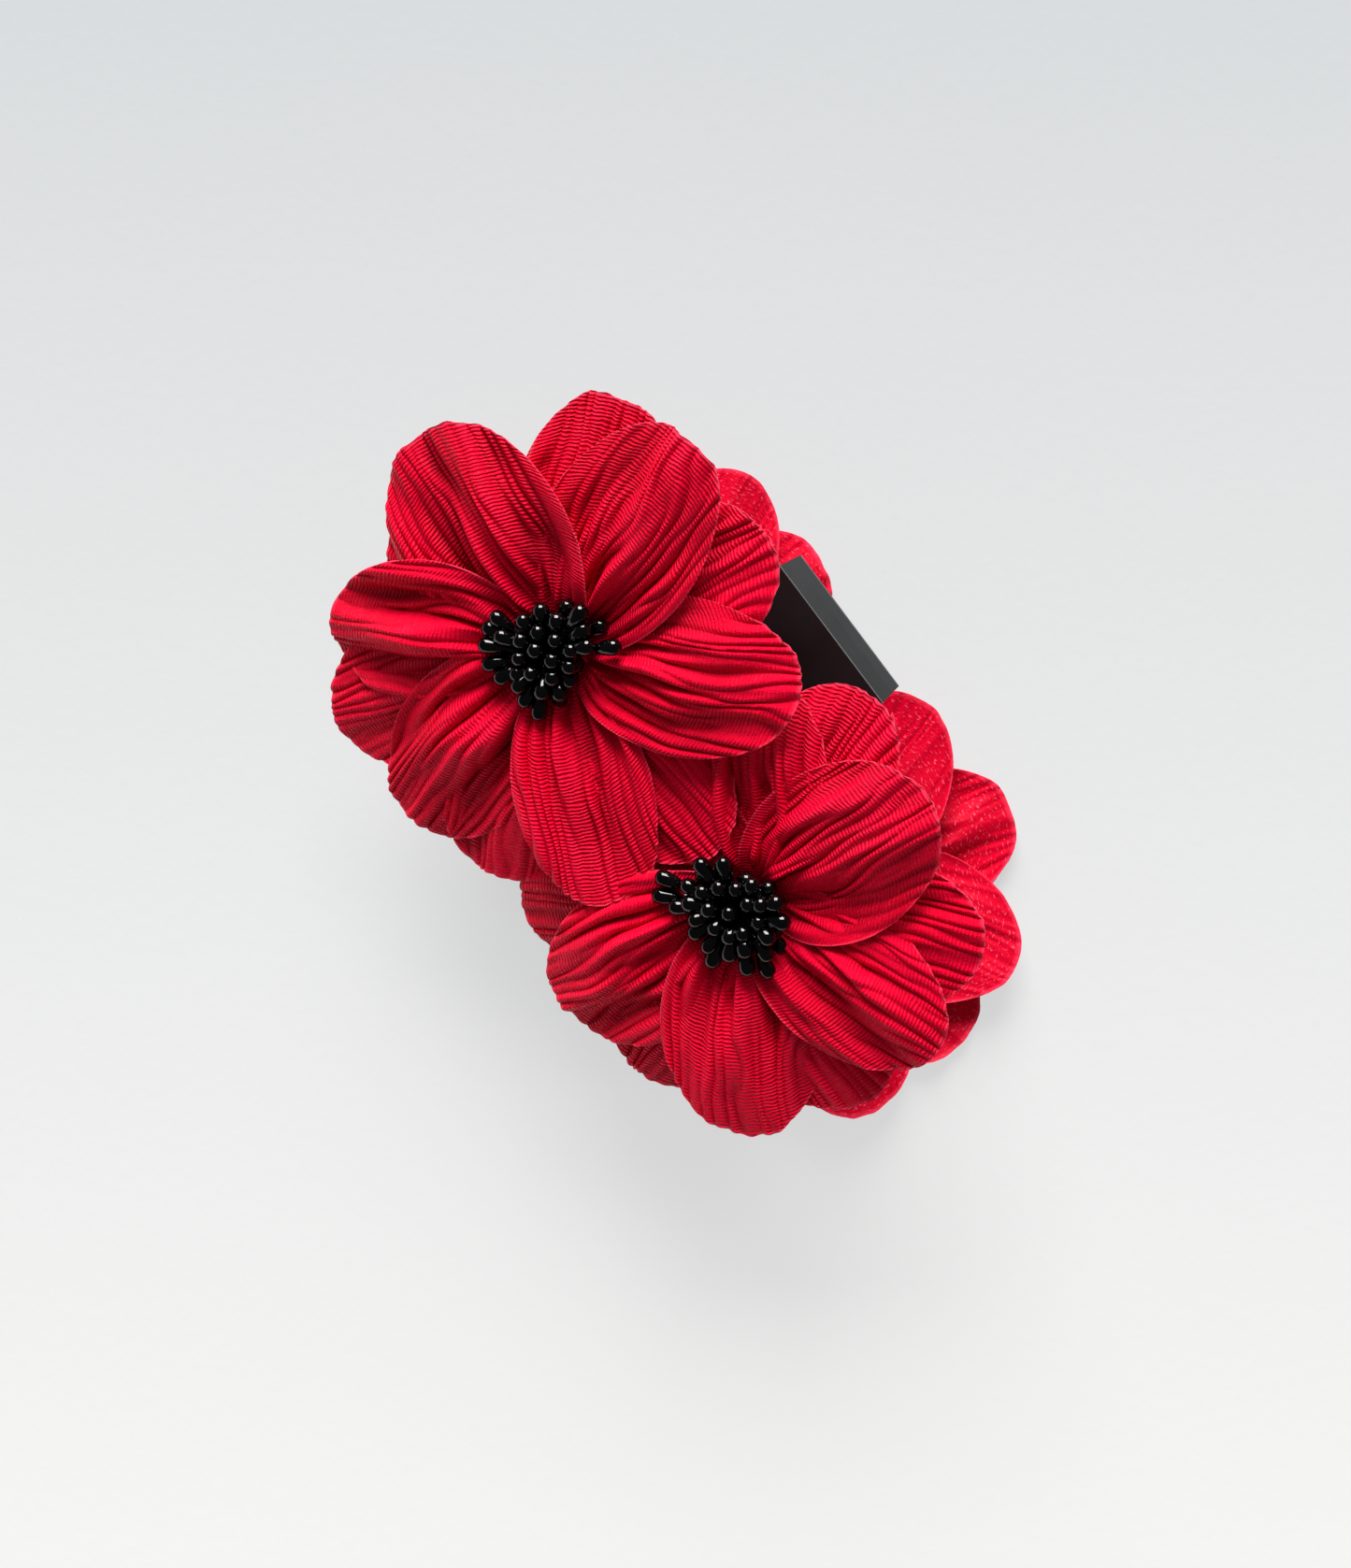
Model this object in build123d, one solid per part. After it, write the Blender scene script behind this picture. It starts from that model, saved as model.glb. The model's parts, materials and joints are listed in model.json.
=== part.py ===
from build123d import *
from math import asin, atan, cos, radians, sin, sqrt
import os

# Claw hair clip with four fabric poppies, lying on the two flowers of its back jaw.
# Millimetres. The clip is modelled with its hinge pin along X through the origin, its handles
# towards +Y and its front jaw towards +Z, then leaned back and set down with its lowest point at Z = 0.

# Driving dimensions of the two jaws
jaw_length = 82.0           # along the hinge
wall = 2.4                  # moulded wall of the jaws and handles
handle_tip_width = 28.4
handle_base_width = 34.0
handle_reach = 21.4         # hinge to the handle's free edge
handle_rise = 13.75         # middle of the wall there, away from the mid plane
hinge_room = 3.8            # hinge to the inside of the wall above it
jaw_reach = 40.0            # hinge to the teeth's tips
tip_cross = 1.3             # how far the teeth's tips cross the mid plane
handle_bevel = 1.3          # along the inner edge of the handle's free end
corner_radius = 8.0         # corners of the jaw's outline
tooth_length = 15.0
tooth_pitch = 9.4
tooth_root_width = 6.0
tooth_tip_width = 2.6
front_teeth = 9

# Driving dimensions of the hinge
pin_radius = 0.8
pin_head_radius = 1.5
pin_head_height = 0.8
hinge_running_clearance = 0.05
ear_radius = 2.8
ear_thickness = 2.7
ear_gap = 0.35              # between the front jaw's ear and the back jaw's
inner_ear_start = 9.5       # from the middle of the clip to the front jaw's ear
spring_wire = 0.9
spring_coil_radius = 1.5    # to the middle of the wire
spring_coil_length = 9.0
spring_leg = 13.0

# Driving dimensions of the flowers
lean = 13.0                 # degrees that each seat faces towards the teeth, and that the clip leans
seat_reach = 14.3           # hinge to the middle of the seats, towards the teeth
seat_rise = 13.04           # mid plane to the middle of the seats
pad_radius = 10.0
pad_depth = 9.0             # from the seat down into the jaw's curve
heart_radius = 6.0
heart_height = 5.6
petal_thickness = 0.6
petal_tilt = 6.0            # degrees: each petal's clockwise side lies over its neighbour
layer_drop = 3.4            # the lower layer of petals below the upper one
petal_base_width = 4.6
petal_widest = 0.66         # where a petal is widest, as a share of its length
petal_waist = 15.0          # from the heart to where a petal has opened out of its gathers
petal_waist_share = 0.78    # its width there, as a share of its greatest width
petal_shoulder_radius = 5.0
petal_crease_radii = (16.0, 28.0)          # from the heart, where a petal bends
petal_heights = (4.0, 8.2, 10.3, 6.6)      # above the seat: at the heart, the two bends and the outside
petal_outside = 46.0                       # radius of the last height
flower_gap = 0.4            # between two flowers side by side
stamens_per_flower = 28
stamen_spread = 9.5
stamen_height = 11.8
stamen_head_radius = 1.25
stamen_head_length = 4.6
stamen_thread_radius = 0.35

# Each flower: its jaw (front +1, back -1), its place along the hinge, and its petals as
# direction in degrees, length and width, counter-clockwise from +X as seen from outside.
flowers = {
    "front_left": (
        1, -24.9,
        [(46, 43.5, 26), (106, 44, 28), (172, 41, 32), (225, 40, 26), (283, 40, 27), (337, 43, 24)],
        [(3, 42, 28), (73, 42, 28), (129, 44, 28), (198, 40, 28), (250, 44, 28), (304, 42, 28)],
    ),
    "front_right": (
        1, 26.7,
        [(21, 40, 25), (84, 39, 28), (138, 39, 28), (198, 38, 28), (265, 39, 29), (323, 41, 28)],
        [(46, 40, 27), (112, 41, 27), (170, 38, 27), (237, 41, 28), (292, 39, 28), (352, 40, 29)],
    ),
    "back_left": (
        -1, -18.1,
        [(40, 40, 28), (100, 41, 28), (160, 40, 28), (220, 40, 28), (280, 41, 28), (340, 40, 28)],
        [(10, 40, 28), (70, 40, 28), (130, 41, 28), (190, 40, 28), (251, 41, 28), (311, 40, 28)],
    ),
    "back_right": (
        -1, 33.6,
        [(50, 41, 28), (110, 40, 28), (170, 41, 28), (229, 40, 28), (289, 41, 28), (349, 41, 28)],
        [(20, 41, 28), (79, 41, 28), (137, 40, 28), (196, 40, 28), (255, 41, 28), (319, 41, 28)],
    ),
}

parts = {}
far = 200.0                 # longer than anything that it cuts


# The jaws: one curved wall, seen from the end as (towards the handle, away from the mid plane)

hinge_flat = 2.5            # half the flat stretch of wall above the hinge
hinge_rise = hinge_room + wall / 2
handle_slope = (handle_rise - hinge_rise) / (handle_reach - hinge_flat)
handle_turn = atan(handle_slope)


def on_seat(along, below):
    """A point below the seat's plane, in the end view."""
    lean_cos, lean_sin = cos(radians(lean)), sin(radians(lean))
    return (-seat_reach - along * lean_cos + below * lean_sin, seat_rise - along * lean_sin - below * lean_cos)


def wall_section(outwards):
    """The jaw's wall from the handle's free edge over the hinge to the teeth's tips."""
    seat_depth = 1.5 + wall / 2          # the wall's middle below the seat
    past_end = 2 * wall                  # trimmed off by the outline
    middle = [
        (handle_reach + past_end, handle_rise + past_end * handle_slope),
        (hinge_flat, hinge_rise),
        (-hinge_flat, hinge_rise),
        on_seat(-7.0, seat_depth),
        on_seat(13.0, seat_depth),
        (-jaw_reach, -tip_cross),
    ]
    with BuildSketch(Plane.YZ) as sketch:
        with BuildLine():
            FilletPolyline(*[(y, z * outwards) for y, z in middle], radius=[5.0, 3.2, 4.0, 25.0])
            offset(amount=wall / 2, side=Side.BOTH)
        make_face()
    return sketch.sketch


def jaw_outline(tooth_places):
    """The jaw seen from outside: handle, shoulders, body and teeth."""
    body_half = jaw_length / 2
    tooth_root = -jaw_reach + tooth_length
    right_side = [
        (handle_tip_width / 2, handle_reach),
        (handle_base_width / 2, 4.0),
        (handle_base_width / 2 + 3.0, -1.0),
        (body_half - corner_radius, -6.0),
        (body_half, -6.0 - corner_radius),
        (body_half, tooth_root),
    ]
    left_side = [(-x, y) for x, y in reversed(right_side)]
    with BuildSketch() as sketch:
        Polygon(*right_side, *left_side, align=None)
        fillet(sketch.vertices().filter_by(lambda v: -20 < v.Y < 10), radius=3.0)
        for place in tooth_places:
            with Locations((place, tooth_root - tooth_length / 2)):
                tip_end = -tooth_length / 2 - wall
                root_end = tooth_length / 2 + 1.0
                Polygon(
                    (-tooth_root_width / 2, root_end),
                    (-tooth_tip_width / 2, tip_end),
                    (tooth_tip_width / 2, tip_end),
                    (tooth_root_width / 2, root_end),
                    align=None,
                )
    return sketch.sketch


def ear(start, outwards, bore):
    """A hinge ear as a plate across X, from start towards +X, up to the wall above the hinge."""
    with BuildSketch(Plane.YZ.offset(start)) as sketch:
        Circle(ear_radius)
        Polygon(
            (-ear_radius, 0),
            (ear_radius, 0),
            (ear_radius - 0.2, hinge_rise * outwards),
            (-ear_radius + 1.2, hinge_rise * outwards),
            align=None,
        )
        Circle(bore, mode=Mode.SUBTRACT)
    return extrude(sketch.sketch, ear_thickness)


def jaw(outwards, tooth_count, ear_start, bore):
    """One moulded half: wall, handle and teeth in one, with two hinge ears inside."""
    places = [tooth_pitch * (i - (tooth_count - 1) / 2) for i in range(tooth_count)]
    shell = extrude(wall_section(outwards), jaw_length, both=True)
    body = shell & extrude(jaw_outline(places), far, both=True)
    tip = body.faces().filter_by(Axis.Y).sort_by(Axis.Y)[-1]
    inner_edge = tip.edges().filter_by(Axis.X).sort_by(lambda e: abs(e.center().Z))[0]
    body = chamfer(inner_edge, handle_bevel)
    ears = [ear(ear_start, outwards, bore), ear(-ear_start - ear_thickness, outwards, bore)]
    return body + ears


outer_ear_start = inner_ear_start + ear_thickness + ear_gap
running_bore = pin_radius + hinge_running_clearance
parts["front_jaw"] = jaw(1, front_teeth, inner_ear_start, running_bore)
parts["back_jaw"] = jaw(-1, front_teeth - 1, outer_ear_start, pin_radius)


# The hinge: a steel pin held in the back jaw's ears, and a torsion spring round it

pin_half = outer_ear_start + ear_thickness
pin = Cylinder(pin_radius, 2 * pin_half, rotation=(0, 90, 0))
for end in (-1, 1):
    head_middle = end * (pin_half + pin_head_height / 2)
    head = Cylinder(pin_head_radius, pin_head_height, rotation=(0, 90, 0))
    pin += Pos(head_middle, 0, 0) * head
parts["hinge_pin"] = pin


# The leg toes out until its end bears on the inside of the handle
handle_inside = hinge_rise * cos(handle_turn) - hinge_flat * sin(handle_turn) - wall / 2
toe_out = asin((handle_inside - spring_coil_radius - spring_wire / 2) / spring_leg)


def spring_leg_solid(place, outwards):
    """A straight leg of wire that leaves the coil at a tangent and runs out under a handle."""
    turn = handle_turn + toe_out
    start = (place, -spring_coil_radius * sin(turn), outwards * spring_coil_radius * cos(turn))
    direction = (0, cos(turn), outwards * sin(turn))
    leg = Plane(origin=start, z_dir=direction) * Pos(0, 0, spring_leg / 2)
    return leg * Cylinder(spring_wire / 2, spring_leg)


coil_skin = 0.05            # the legs' wire starts this far inside the coil's outer shape
coil_outside = spring_coil_radius + spring_wire / 2 + coil_skin
coil_inside = spring_coil_radius - spring_wire / 2 - coil_skin
coil = Cylinder(coil_outside, spring_coil_length) - Cylinder(coil_inside, spring_coil_length)
leg_place = (spring_coil_length - spring_wire) / 2 - coil_skin
parts["hinge_spring"] = (
    Rot(0, 90, 0) * coil
    + spring_leg_solid(leg_place, 1)
    + spring_leg_solid(-leg_place, -1)
)


# The flowers, made lying on the XY plane round the Z axis and then placed on their seats

def seat_place(outwards, along_hinge):
    """The seat's frame: Z straight out of the jaw and X along the hinge."""
    middle_y, middle_z = on_seat(0, 0)
    out_y, out_z = -sin(radians(lean)), cos(radians(lean))
    return Plane(
        origin=(along_hinge, middle_y, middle_z * outwards),
        x_dir=(1, 0, 0),
        z_dir=(0, out_y, out_z * outwards),
    )


def pad_solid(outwards, along_hinge):
    """A felt pad, flat on top, whose underside takes the curve of the jaw's wall."""
    pad = seat_place(outwards, along_hinge) * Pos(0, 0, -pad_depth / 2) * Cylinder(pad_radius, pad_depth)
    with BuildSketch(Plane.YZ.offset(along_hinge)) as under:
        with BuildLine():
            Polyline((-far, 0), (far, 0), (far, far * outwards), (-far, far * outwards), close=True)
        make_face()
    outside_of_wall = wall_section(outwards)
    above = extrude(under.sketch, pad_radius * 2, both=True)
    wall_band = extrude(outside_of_wall, jaw_length, both=True)
    pieces = (pad & above) - wall_band
    return pieces.solids().sort_by(lambda s: s.center().Z * outwards)[-1]


def petal_shell(drop):
    """A shallow dish of the petals' bent section, through the sweep that a petal needs."""
    radii = (heart_radius - 1.0, *petal_crease_radii, petal_outside)
    top = [(r, 0, h - drop) for r, h in zip(radii, petal_heights)]
    under = [(r, 0, h - drop - petal_thickness) for r, h in zip(radii, petal_heights)]
    section = make_face(Polyline(*top, *reversed(under), close=True))
    sweep = 120.0
    return Rot(0, 0, -sweep / 2) * revolve(section, Axis.Z, sweep)


def petal_outline(length, width):
    """A petal from above: a narrow foot that widens to a round end."""
    widest = petal_widest * length
    with BuildSketch() as sketch:
        with BuildLine():
            Polyline(
                (widest, -width / 2),
                (petal_waist, -petal_waist_share * width / 2),
                (heart_radius - 0.5, -petal_base_width / 2),
                (heart_radius - 0.5, petal_base_width / 2),
                (petal_waist, petal_waist_share * width / 2),
                (widest, width / 2),
            )
            ThreePointArc((widest, width / 2), (length, 0), (widest, -width / 2))
        make_face()
        shoulders = sketch.vertices().sort_by(Axis.X)[-2:]
        fillet(shoulders, radius=petal_shoulder_radius)
        Circle(heart_radius, mode=Mode.SUBTRACT)
    return sketch.sketch


def petal_solid(shell, direction, length, width):
    tilted = Rot(petal_tilt, 0, 0) * shell
    cut = tilted & extrude(petal_outline(length, width), far)
    return Rot(0, 0, direction) * cut


def stamen_solid(length):
    """One thread with a drop-shaped head, standing on the origin."""
    head = length - stamen_head_length
    section = [
        (0, 0),
        (stamen_thread_radius, 0),
        (stamen_thread_radius, head),
        (0.75 * stamen_head_radius, head + 0.35 * stamen_head_length),
        (stamen_head_radius, head + 0.62 * stamen_head_length),
        (0.85 * stamen_head_radius, head + 0.86 * stamen_head_length),
        (0.35 * stamen_head_radius, length),
        (0, length),
    ]
    return revolve(make_face(Polyline(*[(r, 0, h) for r, h in section], close=True)), Axis.Z)


def stamens_solid():
    """The heart that holds the petals, with a bunch of threads that end in drops."""
    bunch = Pos(0, 0, heart_height / 2) * Cylinder(heart_radius, heart_height)
    threads = []
    for i in range(stamens_per_flower):
        share = sqrt((i + 0.5) / stamens_per_flower)
        turn = radians(137.5 * i)
        foot_radius = 0.45 * share * stamen_spread
        foot = Vector(foot_radius * cos(turn), foot_radius * sin(turn), heart_height - 0.3)
        top_radius = share * stamen_spread
        top = Vector(top_radius * cos(turn), top_radius * sin(turn), stamen_height - share)
        threads.append(Plane(origin=foot, z_dir=top - foot) * stamen_solid((top - foot).length))
    return bunch + threads


def middle_between(outwards):
    """The plane along the hinge where the two flowers of one jaw meet."""
    places = [place for side, place, *layers in flowers.values() if side == outwards]
    return sum(places) / 2


stamens = stamens_solid()
shells = {"upper": petal_shell(0.0), "lower": petal_shell(layer_drop)}
for name, (outwards, along_hinge, upper, lower) in flowers.items():
    seat = seat_place(outwards, along_hinge)
    parts[name + "_pad"] = pad_solid(outwards, along_hinge)
    parts[name + "_stamens"] = seat * stamens
    meeting = middle_between(outwards)
    own_side = 1 if along_hinge > meeting else -1
    own_room = Pos(meeting + own_side * (far + flower_gap) / 2, 0, 0) * Box(far, far, far)
    for layer, petals in (("upper", upper), ("lower", lower)):
        for number, (direction, length, width) in enumerate(petals, 1):
            petal = seat * petal_solid(shells[layer], direction, length, width)
            parts[f"{name}_{layer}_petal_{number}"] = petal & own_room


# The clip leans back about its hinge until the back flowers lie flat, and is set down

leaned = {name: Rot(lean, 0, 0) * solid for name, solid in parts.items()}
around = Compound(children=[Compound(solid.solids()) for solid in leaned.values()]).bounding_box()
set_down = Pos(-around.center().X, -around.center().Y, -around.min.Z)
hinge_place = set_down.position
print(f"hinge at {hinge_place.X:.3f} {hinge_place.Y:.3f} {hinge_place.Z:.3f}")
print(f"size {around.size.X:.2f} {around.size.Y:.2f} {around.size.Z:.2f}")

os.makedirs("parts", exist_ok=True)
for name, solid in leaned.items():
    placed = set_down * solid
    placed.label = name
    export_step(placed, f"parts/{name}.step")
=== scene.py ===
import json
import math
import bpy
import numpy as np
from mathutils import Matrix, Vector


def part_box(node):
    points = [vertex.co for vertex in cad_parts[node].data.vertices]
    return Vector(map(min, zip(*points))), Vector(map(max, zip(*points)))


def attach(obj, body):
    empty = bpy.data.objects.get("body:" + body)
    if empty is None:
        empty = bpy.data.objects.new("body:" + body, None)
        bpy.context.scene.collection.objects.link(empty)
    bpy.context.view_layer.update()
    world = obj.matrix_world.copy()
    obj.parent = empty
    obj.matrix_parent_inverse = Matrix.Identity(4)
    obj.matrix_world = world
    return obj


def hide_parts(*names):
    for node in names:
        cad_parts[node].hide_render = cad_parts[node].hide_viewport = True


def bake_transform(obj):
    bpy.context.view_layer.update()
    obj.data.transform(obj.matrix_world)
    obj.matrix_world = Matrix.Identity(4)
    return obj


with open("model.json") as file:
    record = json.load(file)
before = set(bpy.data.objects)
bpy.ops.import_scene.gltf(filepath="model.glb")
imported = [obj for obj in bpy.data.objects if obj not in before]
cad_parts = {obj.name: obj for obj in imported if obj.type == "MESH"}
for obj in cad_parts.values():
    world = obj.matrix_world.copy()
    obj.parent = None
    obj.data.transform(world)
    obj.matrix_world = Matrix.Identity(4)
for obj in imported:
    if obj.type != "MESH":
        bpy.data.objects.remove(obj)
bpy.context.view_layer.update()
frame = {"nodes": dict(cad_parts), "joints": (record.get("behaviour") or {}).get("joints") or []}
nodes = frame["nodes"]
MM = 0.001


# ---- Jaws -------------------------------------------------------------------------------------
# Two injection-moulded ABS halves, dyed black in the resin. The mould is spark-eroded, so the
# skin is matte with a very fine grain. They keep their CAD shape and only get their finish.

def linear(code):
    """An sRGB hex colour as linear red, green, blue and alpha."""
    shares = [int(code[i:i + 2], 16) / 255 for i in (1, 3, 5)]
    return [s / 12.92 if s <= 0.04045 else ((s + 0.055) / 1.055) ** 2.4 for s in shares] + [1.0]


def add_node(material, kind, inputs=None, **settings):
    """Adds a node, sets its own settings, and fills its input sockets with values or links."""
    made = material.node_tree.nodes.new(kind)
    for key, value in settings.items():
        setattr(made, key, value)
    for key, value in (inputs or {}).items():
        socket = made.inputs[key]
        if isinstance(value, bpy.types.NodeSocket):
            material.node_tree.links.new(value, socket)
        else:
            socket.default_value = value
    return made


def new_material(name):
    material = bpy.data.materials.new(name)
    material.use_nodes = True
    material.node_tree.nodes.clear()
    return material


black_abs = new_material("moulded_black_abs")
place = add_node(black_abs, "ShaderNodeTexCoord").outputs["Object"]
spark_grain = add_node(       # a spark-eroded grain of 0.1 mm, drawn at 0.35 mm so that it shows
    black_abs, "ShaderNodeTexNoise", {"Vector": place, "Scale": 1 / (0.35 * MM), "Detail": 3.0}
)
handling = add_node(
    black_abs, "ShaderNodeTexNoise", {"Vector": place, "Scale": 1 / (9 * MM), "Detail": 4.0}
)
skin_roughness = add_node(
    black_abs, "ShaderNodeMapRange",
    {"Value": handling.outputs["Fac"], "From Min": 0.3, "From Max": 0.7, "To Min": 0.48, "To Max": 0.60},
)
skin_colour = add_node(
    black_abs, "ShaderNodeMix",
    {"Factor": handling.outputs["Fac"], "A": linear("#121416"), "B": linear("#1A1D20")},
    data_type="RGBA",
)
grain_bump = add_node(
    black_abs, "ShaderNodeBump",
    {"Height": spark_grain.outputs["Fac"], "Strength": 0.25, "Distance": 0.03 * MM},
)
abs_shader = add_node(
    black_abs, "ShaderNodeBsdfPrincipled",
    {
        "Base Color": skin_colour.outputs["Result"],
        "Roughness": skin_roughness.outputs["Result"],
        "Normal": grain_bump.outputs["Normal"],
        "IOR": 1.53,
    },
)
add_node(black_abs, "ShaderNodeOutputMaterial", {"Surface": abs_shader.outputs["BSDF"]})
for jaw in ("front_jaw", "back_jaw"):
    nodes[jaw].data.materials.clear()
    nodes[jaw].data.materials.append(black_abs)


# ---- Hinge pin --------------------------------------------------------------------------------
# A drawn steel wire pin with two upset heads, pressed in the back jaw's ears. Drawing leaves
# fine lines along it, which stretch its reflections. It keeps its CAD shape.

pin_steel = new_material("drawn_steel_pin")
place = add_node(pin_steel, "ShaderNodeTexCoord").outputs["Object"]
along = add_node(pin_steel, "ShaderNodeMapping", {"Vector": place, "Scale": (0.04, 1.0, 1.0)})
draw_lines = add_node(        # 0.05 mm lines
    pin_steel, "ShaderNodeTexNoise",
    {"Vector": along.outputs["Vector"], "Scale": 1 / (0.05 * MM), "Detail": 2.0},
)
line_roughness = add_node(
    pin_steel, "ShaderNodeMapRange",
    {"Value": draw_lines.outputs["Fac"], "To Min": 0.22, "To Max": 0.40},
)
line_bump = add_node(
    pin_steel, "ShaderNodeBump",
    {"Height": draw_lines.outputs["Fac"], "Strength": 0.3, "Distance": 0.01 * MM},
)
steel_shader = add_node(
    pin_steel, "ShaderNodeBsdfPrincipled",
    {
        "Base Color": linear("#B9B8B5"),
        "Metallic": 1.0,
        "Roughness": line_roughness.outputs["Result"],
        "Normal": line_bump.outputs["Normal"],
    },
)
add_node(pin_steel, "ShaderNodeOutputMaterial", {"Surface": steel_shader.outputs["BSDF"]})
nodes["hinge_pin"].data.materials.clear()
nodes["hinge_pin"].data.materials.append(pin_steel)


# ---- Hinge spring -----------------------------------------------------------------------------
# A torsion spring of 0.9 mm spring steel: a tight coil round the pin, one leg under each handle.
# On the clip its two ends turn with their own jaw, so it winds up when the handles are squeezed; here it is
# built in one pose and is attached to neither jaw.

hinge = Vector(frame["joints"][0]["pos_m"])
lean = math.radians(13)                       # the clip leans back this far
wire = 0.9 * MM
coil_radius = 1.5 * MM
coil_half = 4.0 * MM
leg_length = 13.0 * MM
handle_run = 22.5                             # over this length a handle rises
handle_rise = 10.4                            # this far from the mid plane
toe_out = math.radians(1.4)                   # so that the legs' ends bear on the handles
leg_angle = math.atan2(handle_rise, handle_run) + toe_out
whole_turns = 7                               # the legs' directions add 0.65 of a turn
steps_per_turn = 24


def round_hinge(x, angle, radius, along_tangent=0.0):
    """A point round the hinge. The angle goes from the mid plane, on the handles' side, upwards."""
    y = radius * math.cos(angle) - along_tangent * math.sin(angle)
    z = radius * math.sin(angle) + along_tangent * math.cos(angle)
    turned = Matrix.Rotation(lean, 3, "X") @ Vector((x, y, z))
    return hinge + turned


front_start = math.pi / 2 + leg_angle         # where the front leg leaves the coil
back_start = -math.pi / 2 - leg_angle - 2 * math.pi * whole_turns
spring_route = [round_hinge(coil_half, front_start, coil_radius, -leg_length)]
step_count = (whole_turns + 1) * steps_per_turn
for i in range(step_count + 1):
    share = i / step_count
    angle = front_start + (back_start - front_start) * share
    spring_route.append(round_hinge(coil_half * (1 - 2 * share), angle, coil_radius))
spring_route.append(round_hinge(-coil_half, back_start, coil_radius, leg_length))

bpy.ops.object.select_all(action="DESELECT")
spring_curve = bpy.data.curves.new("hinge_spring_wire", "CURVE")
spring_curve.dimensions = "3D"
spring_curve.bevel_depth = wire / 2
spring_curve.bevel_resolution = 3
spring_curve.use_fill_caps = True
spline = spring_curve.splines.new("POLY")
spline.points.add(len(spring_route) - 1)
for point, spot in zip(spline.points, spring_route):
    point.co = (*spot, 1.0)
spring = bpy.data.objects.new("spring_wire", spring_curve)
bpy.context.scene.collection.objects.link(spring)
bpy.context.view_layer.objects.active = spring
spring.select_set(True)
bpy.ops.object.convert(target="MESH")
bpy.ops.object.shade_smooth_by_angle(angle=math.radians(50))

spring_steel = new_material("oiled_spring_steel")
place = add_node(spring_steel, "ShaderNodeTexCoord").outputs["Object"]
oil = add_node(spring_steel, "ShaderNodeTexNoise", {"Vector": place, "Scale": 1 / (1.5 * MM)})
oil_colour = add_node(
    spring_steel, "ShaderNodeMix",
    {"Factor": oil.outputs["Fac"], "A": linear("#8A8783"), "B": linear("#A9A7A3")},
    data_type="RGBA",
)
oil_roughness = add_node(
    spring_steel, "ShaderNodeMapRange",
    {"Value": oil.outputs["Fac"], "To Min": 0.2, "To Max": 0.38},
)
spring_shader = add_node(
    spring_steel, "ShaderNodeBsdfPrincipled",
    {
        "Base Color": oil_colour.outputs["Result"],
        "Metallic": 1.0,
        "Roughness": oil_roughness.outputs["Result"],
    },
)
add_node(spring_steel, "ShaderNodeOutputMaterial", {"Surface": spring_shader.outputs["BSDF"]})
spring.data.materials.append(spring_steel)
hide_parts("hinge_spring")
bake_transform(spring)


# ---- Felt pads --------------------------------------------------------------------------------
# A disc of black pressed wool felt under each flower, soaked with glue where it meets the jaw's
# curve. Its cut edge is soft and hairy.

pad_radius = 10.0 * MM
pad_grid = 0.45 * MM
front_lean = 2 * lean         # the front seats face this far from straight up
flower_names = ("front_left", "front_right", "back_left", "back_right")


def seat_frame(flower):
    """The plane that a flower sits on: Z straight out of the jaw and X along the hinge."""
    low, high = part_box(flower + "_pad")
    middle_x = (low.x + high.x) / 2
    if flower.startswith("front"):
        spot = Vector((
            middle_x,
            low.y + pad_radius * math.cos(front_lean),
            high.z - pad_radius * math.sin(front_lean),
        ))
        return Matrix.Translation(spot) @ Matrix.Rotation(front_lean, 4, "X")
    spot = Vector((middle_x, (low.y + high.y) / 2, low.z))
    return Matrix.Translation(spot) @ Matrix.Rotation(math.pi, 4, "X")


def half_name(flower):
    return "front_half" if flower.startswith("front") else "back_half"


felt = new_material("pressed_wool_felt")
place = add_node(felt, "ShaderNodeTexCoord").outputs["Object"]
fibres = add_node(            # tangled fibres 0.4 mm apart
    felt, "ShaderNodeTexNoise",
    {"Vector": place, "Scale": 1 / (0.4 * MM), "Detail": 6.0, "Distortion": 2.0},
)
fibre_colour = add_node(
    felt, "ShaderNodeMix",
    {"Factor": fibres.outputs["Fac"], "A": linear("#0B0B0C"), "B": linear("#26262A")},
    data_type="RGBA",
)
fibre_bump = add_node(
    felt, "ShaderNodeBump",
    {"Height": fibres.outputs["Fac"], "Strength": 0.9, "Distance": 0.15 * MM},
)
felt_shader = add_node(
    felt, "ShaderNodeBsdfPrincipled",
    {
        "Base Color": fibre_colour.outputs["Result"],
        "Roughness": 0.95,
        "Specular IOR Level": 0.2,
        "Sheen Weight": 0.12,
        "Sheen Roughness": 0.5,
        "Normal": fibre_bump.outputs["Normal"],
    },
)
add_node(felt, "ShaderNodeOutputMaterial", {"Surface": felt_shader.outputs["BSDF"]})

for flower in flower_names:
    cad_pad = nodes[flower + "_pad"]
    bpy.ops.object.select_all(action="DESELECT")
    pad = bpy.data.objects.new(flower + "_felt_pad", cad_pad.data.copy())
    bpy.context.scene.collection.objects.link(pad)
    bpy.context.view_layer.objects.active = pad
    pad.select_set(True)
    pad.data.materials.clear()
    pad.data.materials.append(felt)
    bpy.ops.object.mode_set(mode="EDIT")
    bpy.ops.mesh.select_all(action="SELECT")
    bpy.ops.mesh.remove_doubles(threshold=0.01 * MM)
    bpy.ops.object.mode_set(mode="OBJECT")
    remesh = pad.modifiers.new("even_grid", "REMESH")
    remesh.mode = "VOXEL"
    remesh.voxel_size = pad_grid
    bpy.ops.object.modifier_apply(modifier=remesh.name)
    soften = pad.modifiers.new("soft_edge", "SMOOTH")
    soften.factor = 0.5
    soften.iterations = 4
    bpy.ops.object.modifier_apply(modifier=soften.name)
    bpy.ops.object.shade_smooth()
    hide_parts(flower + "_pad")
    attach(pad, half_name(flower))


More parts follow.
